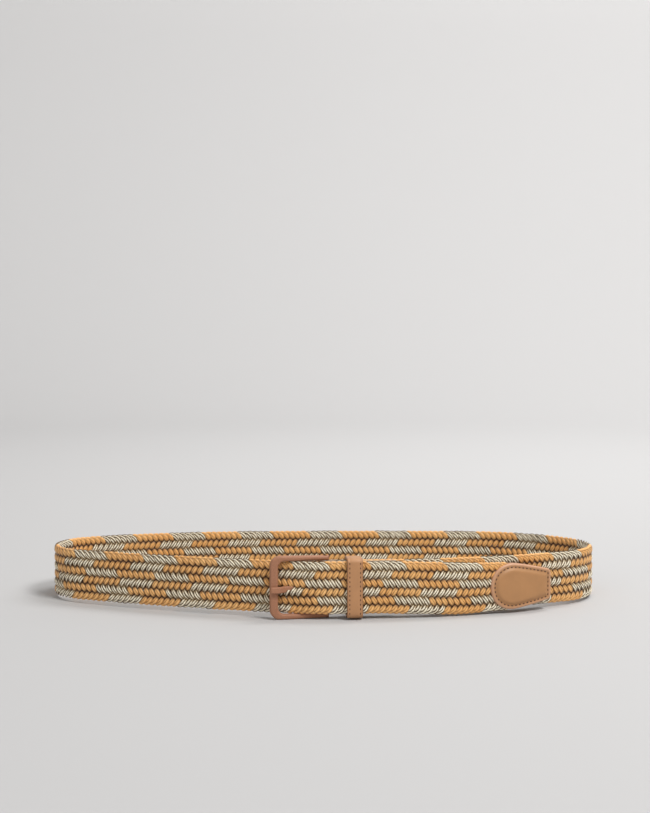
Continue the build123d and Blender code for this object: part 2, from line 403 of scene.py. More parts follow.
def new_object(
    name: str, points: Array, faces: list[Array], uv: list[Array], values: dict[str, Array]
) -> bpy.types.Object:
    """Puts a mesh into the scene.

    Args:
        name: The piece's name.
        points: Corner places, (n, 3).
        faces: Arrays of corner numbers, one for each face size, (count, size).
        uv: For each of those, (count, size, 2) places on the piece's own map.
        values: Attribute name to one number for each point.

    Returns:
        The new object, at the origin.
    """
    mesh = bpy.data.meshes.new(name)
    sizes = np.concatenate([np.full(len(f), f.shape[1]) for f in faces])
    corners = np.concatenate([f.ravel() for f in faces])
    mesh.vertices.add(len(points))
    mesh.vertices.foreach_set("co", points.astype(np.float32).ravel())
    mesh.loops.add(len(corners))
    mesh.loops.foreach_set("vertex_index", corners.astype(np.int32))
    mesh.polygons.add(len(sizes))
    starts = np.concatenate([[0], np.cumsum(sizes)[:-1]])
    mesh.polygons.foreach_set("loop_start", starts.astype(np.int32))
    mesh.polygons.foreach_set("use_smooth", np.ones(len(sizes), bool))
    layer = mesh.uv_layers.new(name="length")
    layer.data.foreach_set("uv", np.concatenate([m.reshape(-1, 2) for m in uv]).astype(np.float32).ravel())
    for key, numbers in values.items():
        attribute = mesh.attributes.new(key, "FLOAT", "POINT")
        attribute.data.foreach_set("value", numbers.astype(np.float32).ravel())
    mesh.update(calc_edges=True)
    piece = bpy.data.objects.new(name, mesh)
    bpy.context.scene.collection.objects.link(piece)
    return piece


def ring_mesh(name: str, rings: Array, along: Array, values: dict[str, Array]) -> bpy.types.Object:
    """Makes one piece from tubes: closed rings of points, with a pole at each end of a tube.

    Face corners run round the ring and then on to the next ring, so a face points outwards where
    the ring turns by the right hand about the way that the rings go.

    Args:
        name: The piece's name.
        rings: (tubes, rings, sides, 3) places. All tubes are alike.
        along: (tubes, rings) distance along each tube, for the piece's own map, in millimetres.
        values: Attribute name to (tubes, rings, sides) numbers.

    Returns:
        The new object.
    """
    tubes, count, sides, _ = rings.shape
    tube, ring, side = np.meshgrid(np.arange(tubes), np.arange(count - 1), np.arange(sides), indexing="ij")
    here = tube * count * sides
    next_ring = ring + 1
    next_side = (side + 1) % sides
    quads = np.stack(
        [
            here + ring * sides + side,
            here + ring * sides + next_side,
            here + next_ring * sides + next_side,
            here + next_ring * sides + side,
        ],
        axis=-1,
    ).reshape(-1, 4)
    u0, u1 = along[tube, ring], along[tube, next_ring]
    v0, v1 = side / sides, (side + 1) / sides
    corners = [np.stack(corner, -1) for corner in ((u0, v0), (u0, v1), (u1, v1), (u1, v0))]
    quad_uv = np.stack(corners, axis=-2).reshape(-1, 4, 2)
    body = tubes * count * sides
    points = np.concatenate([rings.reshape(-1, 3), rings[:, 0].mean(1), rings[:, -1].mean(1)])
    flat = {
        key: np.concatenate([numbers.reshape(-1), numbers[:, 0].mean(1), numbers[:, -1].mean(1)])
        for key, numbers in values.items()
    }
    tube, side = np.meshgrid(np.arange(tubes), np.arange(sides), indexing="ij")
    start = tube * count * sides
    last = start + (count - 1) * sides
    after = (side + 1) % sides
    first_fan = np.stack([body + tube, start + after, start + side], -1).reshape(-1, 3)
    last_fan = np.stack([body + tubes + tube, last + side, last + after], -1).reshape(-1, 3)
    fans = np.concatenate([first_fan, last_fan])
    fan_v = np.stack([(side + 0.5) / sides, (side + 1) / sides, side / sides], -1)
    fan_u = [np.broadcast_to(along[:, [end], None], fan_v.shape) for end in (0, -1)]
    fan_uv = np.concatenate([np.stack([u, fan_v], -1).reshape(-1, 3, 2) for u in fan_u])
    return new_object(name, points, [quads, fans], [quad_uv, fan_uv], flat)


def unit(vectors: Array) -> Array:
    """Returns the vectors at length 1."""
    return vectors / np.linalg.norm(vectors, axis=-1, keepdims=True)


def distance_along(line: Array) -> Array:
    """Returns how far along a line of points each one is: the running sum of the steps."""
    return np.concatenate([[0], np.cumsum(np.linalg.norm(np.diff(line, axis=0), axis=1))])


def smooth(value: Array, low: float, high: float) -> Array:
    """Returns 0 below low, 1 above high and an S curve, 3t^2 - 2t^3, between."""
    t = np.clip((value - low) / (high - low), 0, 1)
    return t * t * (3 - 2 * t)


def stitch_rings(spots: Array, along: Array, up: Array, length: float, width: float, proud: float) -> Array:
    """Shapes stitches as small arched grains.

    Each is an ellipsoid cut into rings: half length times cos, with a section that swells as the
    square root of the sine.

    Args:
        spots: (n, 3) flat places of the stitches' middles.
        along: (n, 3) unit vectors along each stitch.
        up: (n, 3) unit vectors out of the leather.
        length: Length of a stitch.
        width: Its width.
        proud: How far it stands out of the leather.

    Returns:
        (n, rings, sides, 3) places.
    """
    turn = np.linspace(STITCH_END_TURN, math.pi - STITCH_END_TURN, STITCH_RINGS)
    side = np.arange(STITCH_SIDES) * (2 * math.pi / STITCH_SIDES)
    across = np.cross(up, along)
    middle = -np.cos(turn)[None, :, None, None] * (length / 2) * along[:, None, None, :]
    swell = np.sin(turn)[None, :, None, None] ** 0.5
    section = (
        np.cos(side)[None, None, :, None] * (width / 2) * across[:, None, None, :]
        + np.sin(side)[None, None, :, None] * proud * up[:, None, None, :]
    )
    flip = np.flip(section, axis=2)
    return spots[:, None, None, :] + middle + swell * flip


# ---- Where the belt lies ---------------------------------------------------------


@dataclass
class Route:
    """The strap's middle line in plan, as runs of steady bend, and how it stands in the frame."""

    straight: float = 42.0 * MM
    bends: tuple[tuple[float, float], ...] = (
        (346.9, 22.0),
        (44.5, 104.0),
        (100.0, 46.0),
        (1580.0, 6.0),
        (356.0, 20.0),
        (37.0, 133.0),
        (790.0, 10.0),
    )
    lift_radius: float = 40.0 * MM
    lift_end: float = 0.6 * MM
    tip_from: float = 11.6
    tip_to: float = 19.0
    droop: float = 2.4 * MM
    droop_from: float = 28.0 * MM
    droop_run: float = 75.0 * MM
    starts: Array = field(init=False)
    curves: Array = field(init=False)
    headings: Array = field(init=False)
    corners: Array = field(init=False)

    def __post_init__(self) -> None:
        """Works out where each run starts, its curvature, its heading and its place."""
        runs = [(self.straight, 0.0)]
        runs += [(math.radians(turn) * radius * MM, 1 / (radius * MM)) for radius, turn in self.bends]
        self.set_runs(runs)
        slope = 2 * math.pi - self.headings[-1]
        lift_start = self.lift_end - self.lift_radius * math.sin(slope)
        runs += [((lift_start - self.corners[-1, 0]) / math.cos(slope), 0.0)]
        runs += [(self.lift_radius * slope, 1 / self.lift_radius)]
        self.set_runs(runs)
        self.over_start = self.starts[-1]
        self.lap = -self.corners[-1, 1]
        self.tip_radius = self.bends[0][0] * MM + self.lap
        runs += [(self.straight - self.lift_end, 0.0)]
        runs += [(math.radians(self.tip_to + 2) * self.tip_radius, 1 / self.tip_radius)]
        self.set_runs(runs)
        self.tip_bend = self.starts[-2]
        joints = {joint["name"]: joint for joint in frame["joints"]}
        self.origin = np.array(joints["buckle_hinge"]["pos_m"])
        rise = np.array(joints["buckle_hinge"]["axis"])
        ahead = np.array(joints["keeper_slide"]["axis"])
        self.axes = unit(np.stack([ahead, np.cross(rise, ahead), rise]))

    def set_runs(self, runs: list[tuple[float, float]]) -> None:
        """Places runs of (length, curvature) end to end, each tangent to the one before."""
        lengths, curves = np.array(runs).T
        self.starts = np.concatenate([[0.0], np.cumsum(lengths)])
        self.curves = np.concatenate([curves, [0.0]])
        self.headings = np.concatenate([[0.0], np.cumsum(lengths * curves)])
        corners = [np.zeros(2)]
        for length, curve, heading in zip(lengths, curves, self.headings):
            corners.append(corners[-1] + self.step(np.array(length), np.array(curve), np.array(heading)))
        self.corners = np.stack(corners)

    @staticmethod
    def step(length: Array, curve: Array, heading: Array) -> Array:
        """Returns the way covered along an arc: the chord is length times sinc of half its turn."""
        half_turn = length * curve / 2
        chord = length * np.sinc(half_turn / math.pi)
        middle = heading + half_turn
        return np.stack([chord * np.cos(middle), chord * np.sin(middle)], axis=-1)

    def over(self, x: float) -> float:
        """Returns the station on the free end's straight run that lies x past the hinge pin."""
        return self.over_start + x - self.lift_end

    def tip(self, angle: float) -> float:
        """Returns the station on the free end's last bend, so many degrees round it."""
        return self.tip_bend + math.radians(angle) * self.tip_radius

    def plan(self, station: Array) -> tuple[Array, Array]:
        """Returns the middle line's (x, y) and its heading at each station."""
        run = np.clip(np.searchsorted(self.starts, station, side="right") - 1, 0, len(self.curves) - 1)
        length = station - self.starts[run]
        place = self.corners[run] + self.step(length, self.curves[run], self.headings[run])
        return place, self.headings[run] + length * self.curves[run]

    def bend(self, flat: Array) -> Array:
        """Bends flat places round the loop and stands them in the frame.

        The free end hangs a little below the layer under it, by a smooth step past the keeper.

        Args:
            flat: (..., 3) stations, distances out and heights.

        Returns:
            (..., 3) places in the frame.
        """
        place, heading = self.plan(flat[..., 0])
        droop_start = self.over(self.droop_from)
        sag = self.droop * smooth(flat[..., 0], droop_start, droop_start + self.droop_run)
        x = place[..., 0] + np.sin(heading) * flat[..., 1]
        y = place[..., 1] - np.cos(heading) * flat[..., 1]
        return self.stand(np.stack([x, y, flat[..., 2] - sag], axis=-1))

    def stand(self, belt: Array) -> Array:
        """Moves places from the belt's own axes at the hinge pin into the frame."""
        return self.origin + belt @ self.axes


# ---- Braid -----------------------------------------------------------------------


@dataclass
class Braid:
    """The flat braid of thirteen strands in six rows.

    A strand falls through the rows, outside on odd rows and inside on even ones, turns round the
    lower edge, climbs back, and turns again. Its phase counts those crossings, twelve to a repeat:
    out = depth times cos(pi phase), and the height is a wave of straight slopes with sine turns.
    """

    route: Route
    rows: int = 6
    strands: int = 13
    marl_strands: int = 6
    width: float = 35.0 * MM
    thickness: float = 4.6 * MM
    first_station: float = 8.2 * MM
    pitch: float = 4.174 * MM
    colour_start: float = 126.28 * MM
    drift: tuple[tuple[float, float], ...] = (
        (0.0, -2.6),
        (1.0, -3.6),
        (2.0, 0.6),
        (3.5, 3.0),
        (7.0, 1.7),
        (10.0, -2.2),
        (13.0, 0.9),
        (14.0, -0.1),
        (15.5, -3.6),
        (18.0, -4.2),
    )
    samples: int = 8
    turn_reach: float = 1.75 * MM
    half_width: float = 1.78 * MM
    half_width_in_crease: float = 1.60 * MM
    half_depth: float = 1.17 * MM
    narrowing: float = 0.07
    narrowing_run: float = 26.0 * MM
    tip_overlap: float = 13.0 * MM
    tip_run: float = 8.0 * MM
    wander_along: float = 0.16 * MM
    wander_up: float = 0.10 * MM
    prong_low: float = -1.2 * MM
    prong_spread: float = 3.4 * MM
    over_prong: tuple[float, ...] = (-32.0 * MM, -29.2 * MM, -20.0 * MM, -8.0 * MM)
    over_prong_lift: float = 2.3 * MM
    under_prong_push: float = 0.3 * MM
    prong_root: tuple[float, ...] = (-40.0 * MM, -36.0 * MM, -32.5 * MM, -30.5 * MM)
    prong_root_push: float = 0.5 * MM
    tan_sides: int = 14
    tan_swell: float = 0.05
    tan_groove: float = 0.15
    yarn_sway: float = 0.07
    yarn_lift: float = 0.13 * MM
    yarn_margin: float = 0.3 * MM

    def __post_init__(self) -> None:
        """Works out the sizes that follow from the others."""
        self.row_height = self.width / self.rows
        self.top = self.width / 2 - self.row_height / 2
        self.repeat = self.strands * self.pitch
        self.depth = self.thickness / 2 - self.half_depth
        self.last_station = self.route.tip(self.route.tip_from) + self.tip_overlap
        self.random = np.random.default_rng(11)

    def station(self, even: Array) -> Array:
        """Moves evenly spaced stations to where the stretched elastic puts them."""
        repeats, shifts = np.array(self.drift).T
        return even + np.interp((even - self.colour_start) / self.repeat, repeats, shifts) * MM

    def phase_run(self, phase: Array) -> Array:
        """Returns how far along, in strand pitches, a strand is at each phase.

        A crossing takes one pitch and a turn at an edge one and a half.
        """
        crossings = 2 * self.rows
        turns = np.array([0, 5, 6, 11, 12], float)
        runs = np.array([0, 5, 6.5, 11.5, 13], float)
        whole = np.floor(phase / crossings)
        return whole * self.strands + np.interp(phase - whole * crossings, turns, runs)

    def height(self, phase: Array) -> Array:
        """Returns the strand's height: straight slopes between the edge rows and sine turns past them."""
        rows = self.rows
        part = np.mod(phase, 2 * rows)
        falling = self.top - part * self.row_height
        low_turn = -self.top - self.turn_reach * np.sin(math.pi * (part - (rows - 1)))
        climbing = -self.top + (part - rows) * self.row_height
        high_turn = self.top + self.turn_reach * np.sin(math.pi * (part - (2 * rows - 1)))
        return np.select(
            [part < rows - 1, part < rows, part < 2 * rows - 1], [falling, low_turn, climbing], high_turn
        )

    def centre_line(self, index: int) -> tuple[Array, Array]:
        """Works out one strand's middle line.

        Args:
            index: The strand's number; the first marl_strands are marled.

        Returns:
            (n, 3) flat places and (n,) phases.
        """
        start = self.colour_start + (index - (self.marl_strands - 1) / 2) * self.pitch
        first = math.floor((self.first_station - start) / self.repeat) - 1
        last = math.ceil((self.last_station - start) / self.repeat) + 1
        count = (last - first) * 2 * self.rows * self.samples + 1
        phase = np.linspace(first * 2 * self.rows, last * 2 * self.rows, count)
        along = self.station(start + self.phase_run(phase) * self.pitch)
        kept = (along > self.first_station) & (along < self.last_station)
        phase, along = phase[kept], along[kept]
        wander = self.slow_noise(len(phase), 5)
        flat = np.stack(
            [
                along + wander[0] * self.wander_along,
                self.depth * np.cos(math.pi * phase),
                self.height(phase) + wander[1] * self.wander_up,
            ],
            axis=-1,
        )
        return self.shaped(flat), phase

    def slow_noise(self, count: int, spacing: int) -> Array:
        """Returns two rows of smooth random numbers of about size 1."""
        knots = np.arange(0, count + spacing, spacing)
        values = self.random.uniform(-1, 1, (2, len(knots)))
        return np.stack([np.interp(np.arange(count), knots, row) for row in values])

    def shaped(self, flat: Array) -> Array:
        """Narrows the braid into the tip and parts it round the prong.

        A strand's share of the parting falls with its height from the prong as exp(-(z / spread)^2),
        and comes and goes along the strap by smooth steps.

        Args:
            flat: (n, 3) flat places.

        Returns:
            The moved places.
        """
        along, out, up = flat.T
        tip = self.route.tip(self.route.tip_from)
        up = up * (1 - self.narrowing * smooth(along, tip - self.narrowing_run, tip + self.tip_run))
        x = along - self.route.over(0.0)
        near = np.exp(-(((up - self.prong_low) / self.prong_spread) ** 2))
        over = near * self.window(x, self.over_prong)
        root = near * self.window(x, self.prong_root)
        outer = np.clip(out / self.depth, 0, 1)
        inner = np.clip(-out / self.depth, 0, 1)
        push = inner * over * self.under_prong_push + root * self.prong_root_push
        out = out + outer * over * self.over_prong_lift - push
        return np.stack([along, out, up], axis=-1)

    @staticmethod
    def window(x: Array, marks: Sequence[float]) -> Array:
        """Returns a share that rises between the first two marks and falls between the last two."""
        return smooth(x, marks[0], marks[1]) * (1 - smooth(x, marks[2], marks[3]))

    def squeezed(self, crown: Array) -> Array:
        """Returns a strand's half width: narrow where it dives through the braid, full on a face."""
        return self.half_width_in_crease + (self.half_width - self.half_width_in_crease) * crown

    def section_axes(self, line: Array) -> tuple[Array, Array]:
        """Returns unit vectors across a strand, in the strap's face, and out of it."""
        tangent = unit(np.gradient(line, axis=0))
        outward = np.broadcast_to(OUTWARD, line.shape)
        across = unit(np.cross(outward, tangent))
        return across, np.cross(tangent, across)

    def crown(self, phase: Array) -> Array:
        """Returns cos squared: 1 where a strand lies flat on a face and 0 where it dives through."""
        return np.cos(math.pi * phase) ** 2

    def exposure(self, phase: Array, side: Array) -> Array:
        """Works out how open to the light a strand's skin is.

        It follows the crown to the power 0.4, stays full on the turns at the edges, and falls towards
        the flanks of the section.

        Args:
            phase: (n,) phases.
            side: (m,) angles round the section, from across the strap.

        Returns:
            (n, m) numbers from 0 to 1.
        """
        part = np.mod(phase, self.rows)
        turning = np.where(part > self.rows - 1, np.sin(math.pi * (part - self.rows + 1)), 0.0)
        face = np.maximum(self.crown(phase) ** 0.4, turning)
        flank = np.maximum(0.35 + 0.65 * np.abs(np.sin(side))[None, :], turning[:, None])
        return face[:, None] * flank

    def tan_strand(self, index: int) -> bpy.types.Object:
        """Makes one waxed cord: a flattened tube with a shallow groove along each face."""
        line, phase = self.centre_line(index)
        across, outward = self.section_axes(line)
        crown = self.crown(phase)
        side = (np.arange(self.tan_sides) + 0.5) * (2 * math.pi / self.tan_sides)
        wide = self.squeezed(crown) * (1 + self.tan_swell * self.slow_noise(len(phase), 16)[0])
        groove = 1 - self.tan_groove * np.exp(-((np.cos(side) / 0.3) ** 2))
        ring = (
            np.cos(side)[None, :, None] * wide[:, None, None] * across[:, None, :]
            + (np.sin(side) * groove)[None, :, None] * self.half_depth * outward[:, None, :]
        )
        places = self.route.bend(line[:, None, :] + ring)
        # How open to light each point is, kept as the crown attribute; the cord's material paints shade from
        # it.
        face = self.exposure(phase, side)
        length = distance_along(line) / MM
        number = index - self.marl_strands + 1
        return ring_mesh(f"cord_tan_{number}", places[None], length[None], {"crown": face[None]})

    def yarns(
        self,
        index: int,
        name: str,
        offsets: Sequence[float],
        half_width: float,
        half_depth: float,
        sides: int,
    ) -> bpy.types.Object:
        """Makes the yarns of one kind in a marled strand, laid side by side.

        Args:
            index: The strand's number.
            name: The piece's name.
            offsets: Where each yarn lies across the strand, in half widths of it.
            half_width: Half a yarn's width.
            half_depth: Half its depth.
            sides: Sides of its section.

        Returns:
            The piece.
        """
        line, phase = self.centre_line(index)
        across, outward = self.section_axes(line)
        squeeze = self.squeezed(self.crown(phase)) / self.half_width
        spread = (self.half_width - self.yarn_margin) * squeeze
        side = np.arange(sides) * (2 * math.pi / sides)
        offset = np.array(offsets)[:, None]
        yarn = np.arange(len(offsets))[:, None]
        sway = self.yarn_sway * np.sin(phase[None, :] * 1.37 + 2.4 * yarn + index)
        sway = sway + self.yarn_sway * np.stack([self.slow_noise(len(phase), 6)[0] for _ in offsets])
        shift = (offset + sway) * spread[None, :]
        lift = (self.half_depth - half_depth) * (1 - 0.45 * (offset + sway) ** 2)
        lift = lift + self.yarn_lift * np.stack([self.slow_noise(len(phase), 7)[0] for _ in offsets])
        rise = lift * np.cos(math.pi * phase)[None, :]
        middle = line[None] + shift[..., None] * across[None] + rise[..., None] * OUTWARD
        wide = (half_width * squeeze)[:, None] * across
        deep = half_depth * outward
        ring = np.cos(side)[:, None] * wide[:, None, :] + np.sin(side)[:, None] * deep[:, None, :]
        places = self.route.bend(middle[:, :, None, :] + ring[None])
        # How open to light each point is, kept as the crown attribute; the yarn materials paint shade from
        # it.
        face = np.broadcast_to(self.exposure(phase, side)[None], places.shape[:3])
        length = distance_along(line) / MM
        along = np.broadcast_to(length[None], places.shape[:2]) + 0.7 * yarn
        return ring_mesh(name, places, along, {"crown": face})

    def build(self) -> list[bpy.types.Object]:
        """Makes and dresses every strand.

        Returns:
            The pieces.
        """
        waxed = WaxedCord().material()
        # Each yarn's dark colour is also its painted shade in the creases of the braid.
        cream = TwistedYarn("cream_yarn", (1.0, 0.93, 0.74), (0.42, 0.27, 0.11)).material()
        olive = TwistedYarn(
            "olive_yarn", (0.150, 0.085, 0.026), (0.036, 0.019, 0.006), lit_share_in_crease=0.7
        ).material()
        made = []
        for index in range(self.strands):
            if index < self.marl_strands:
                number = index + 1
                pale = self.yarns(index, f"yarn_cream_{number}", (-0.54, 0.54), 0.68 * MM, 0.72 * MM, 8)
                dark = self.yarns(index, f"yarn_olive_{number}", (-1.04, 0.0, 1.04), 0.30 * MM, 0.50 * MM, 6)
                made += [dress(pale, cream), dress(dark, olive)]
            else:
                made.append(dress(self.tan_strand(index), waxed))
        for piece in made:
            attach(piece, "belt")
            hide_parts("braided_strap")
        return made


def dress(piece: bpy.types.Object, material: bpy.types.Material) -> bpy.types.Object:
    """Gives a piece its material."""
    piece.data.materials.append(material)
    return piece


# ---- Leather tip -----------------------------------------------------------------


@dataclass
class Tip:
    """The leather tip: two plies sewn round the braid's end, the front one puffed."""

    route: Route
    height: float = 31.6 * MM
    end_height: float = 22.0 * MM
    widest_share: float = 0.36
    corner: float = 3.4 * MM
    ply: float = 1.2 * MM
    puff: float = 1.15 * MM
    inside: float = 2.3 * MM
    seam_inset: float = 2.5 * MM
    stitch_pitch: float = 2.95 * MM
    taper_power: float = 1.25
    round_power: float = 2.15
    face_inset: float = 7.0
    shrink_run: float = 10.0
    edge_fade: float = 1.6
    stitch_sunk: float = 0.12 * MM

    def __post_init__(self) -> None:
        """Finds the tip's stretch of the strap."""
        self.left = self.route.tip(self.route.tip_from)
        self.right = self.route.tip(self.route.tip_to)
        self.widest = self.left + (self.right - self.left) * self.widest_share

    def outline(self, inset: float) -> Array:
        """Works out the outline, moved inwards.

        It is half a superellipse on the left, |x|^2.15 + |y|^2.15 = 1, then a slow taper whose drop
        grows as the distance to the power 1.25, and two round corners.

        Args:
            inset: How far inwards.

        Returns:
            (n, 2) stations and heights, from the top of the widest place round by the left end.
        """
        half_wide = self.height / 2 - inset
        half_end = self.end_height / 2 - inset
        corner = max(self.corner - inset, 0.5 * MM)
        turn = np.linspace(0, math.pi, 49)[:-1]
        power = 2 / self.round_power
        left = self.widest - (self.widest - self.left - inset) * np.abs(np.sin(turn)) ** power
        left_up = half_wide * np.sign(np.cos(turn)) * np.abs(np.cos(turn)) ** power
        stop = self.right - inset - corner
        share = np.linspace(0, 1, 21)
        taper = self.widest + (stop - self.widest) * share
        drop = (half_wide - half_end) * share**self.taper_power
        round_turn = np.linspace(0, math.pi / 2, 8)[1:-1]
        lower_x = stop + corner * np.sin(round_turn)
        lower_y = -(half_end - corner) - corner * np.cos(round_turn)
        end_y = np.linspace(-(half_end - corner), half_end - corner, 15)
        end_x = np.full(15, self.right - inset)
        x = np.concatenate([left, taper, lower_x, end_x, lower_x[::-1], taper[:0:-1]])
        upper_taper = (half_wide - drop)[:0:-1]
        y = np.concatenate([left_up, drop - half_wide, lower_y, end_y, -lower_y[::-1], upper_taper])
        return np.stack([x, y], axis=-1)

    def ply_mesh(self, name: str, profile: Sequence[tuple[float, float]], face: Face) -> bpy.types.Object:
        """Carries a profile round the outline, from a pole underneath to a pole on the face.

        Past face_inset the outline keeps its shape and shrinks about the tip's middle.

        Args:
            name: The piece's name.
            profile: (inset, distance out) pairs, in millimetres.
            face: The face of the strap that the ply lies on.

        Returns:
            The piece.
        """
        rings, edge = [], []
        for inset, out in profile:
            line = self.outline(min(inset, self.face_inset) * MM)
            if inset > self.face_inset:
                centre = np.array([(self.left + self.right) / 2 - 1.5 * MM, 0.0])
                line = centre + (line - centre) * (1 - (inset - self.face_inset) / self.shrink_run)
            outs = np.full(len(line), face.value * out * MM)
            rings.append(np.stack([line[:, 0], outs, line[:, 1]], axis=-1))
            edge.append(np.full(len(line), math.exp(-((inset / self.edge_fade) ** 2))))
        shape = np.stack(rings)
        if face is Face.WEARER:
            shape = shape[:, ::-1]
        places = self.route.bend(shape)
        along = np.arange(len(rings), dtype=float)
        return ring_mesh(name, places[None], along[None], {"edge": np.stack(edge)[None]})

    def seam(self) -> tuple[Array, Array]:
        """Spaces stitches evenly round the inset outline.

        Returns:
            (n, 3) flat places and (n, 3) unit vectors along the seam.
        """
        line = self.outline(self.seam_inset)
        closed = np.concatenate([line, line[:1]])
        length = distance_along(closed)
        count = round(length[-1] / self.stitch_pitch)
        middle = (np.arange(count) + 0.5) * length[-1] / count
        before, spots, after = (
            np.stack([np.interp(middle + step, length, axis) for axis in closed.T], -1)
            for step in (-MM, 0.0, MM)
        )
        way = unit(after - before)
        surface = np.full(count, self.inside + self.ply - self.stitch_sunk)
        return (
            np.stack([spots[:, 0], surface, spots[:, 1]], axis=-1),
            np.stack([way[:, 0], np.zeros(count), way[:, 1]], axis=-1),
        )

    def build(self) -> list[bpy.types.Object]:
        """Makes both plies and the stitching.

        Returns:
            The pieces.
        """
        face = (self.inside + self.ply) / MM
        top = face + self.puff / MM
        front_profile = [
            (16.8, 0.05), (12.0, 0.05), (7.0, 0.05), (2.0, 0.05), (0.35, 0.05), (0.1, 0.2), (0.0, 0.6),
            (0.0, face - 1.3), (0.08, face - 0.8), (0.3, face - 0.32), (0.7, face - 0.05), (1.2, face + 0.05),
            (1.7, face + 0.02), (2.15, face - 0.12), (2.5, face - 0.2), (2.85, face - 0.12),
            (3.3, face + 0.1), (3.8, face + 0.42),
            (4.4, face + 0.78), (5.2, top - 0.08), (6.2, top), (8.0, top), (12.0, top),
            (16.8, top),
        ]
        back_face = (self.inside + self.ply - 0.75 * MM) / MM
        back_profile = [
            (16.8, -0.05), (7.0, -0.05), (0.35, -0.05), (0.1, 0.1), (0.0, 0.5), (0.0, back_face - 0.8),
            (0.1, back_face - 0.4), (0.4, back_face - 0.1), (0.9, back_face), (2.5, back_face - 0.08),
            (4.0, back_face), (8.0, back_face), (16.8, back_face),
        ]
        leather = SmoothLeather("tip_leather", (0.45, 0.225, 0.092), (0.58, 0.32, 0.19), 0.40).material()
        lining = SmoothLeather("tip_back_leather", (0.43, 0.25, 0.135), (0.30, 0.15, 0.08), 0.6).material()
        thread = SewingThread("tip_thread_wax", (0.10, 0.036, 0.016)).material()
        front = dress(self.ply_mesh("tip_front_ply", front_profile, Face.OUTER), leather)
        back = dress(self.ply_mesh("tip_back_ply", back_profile, Face.WEARER), lining)
        spots, way = self.seam()
        outward = np.broadcast_to(OUTWARD, spots.shape)
        rings = stitch_rings(spots, way, outward, 1.45 * MM, 0.85 * MM, 0.34 * MM)
        stitches = piece_of_stitches("tip_stitches", self.route.bend(rings))
        dress(stitches, thread)
        for piece, node in ((front, "tip_front"), (back, "tip_back"), (stitches, "tip_thread")):
            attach(piece, "belt")
            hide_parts(node)
        return [front, back, stitches]


def piece_of_stitches(name: str, rings: Array) -> bpy.types.Object:
    """Joins stitches, given as (n, rings, sides, 3) places, into one piece."""
    along = np.broadcast_to(np.linspace(0, 1, rings.shape[1]), rings.shape[:2])
    return ring_mesh(name, rings, along, {"crown": np.ones(rings.shape[:3])})


# ---- Keeper ----------------------------------------------------------------------


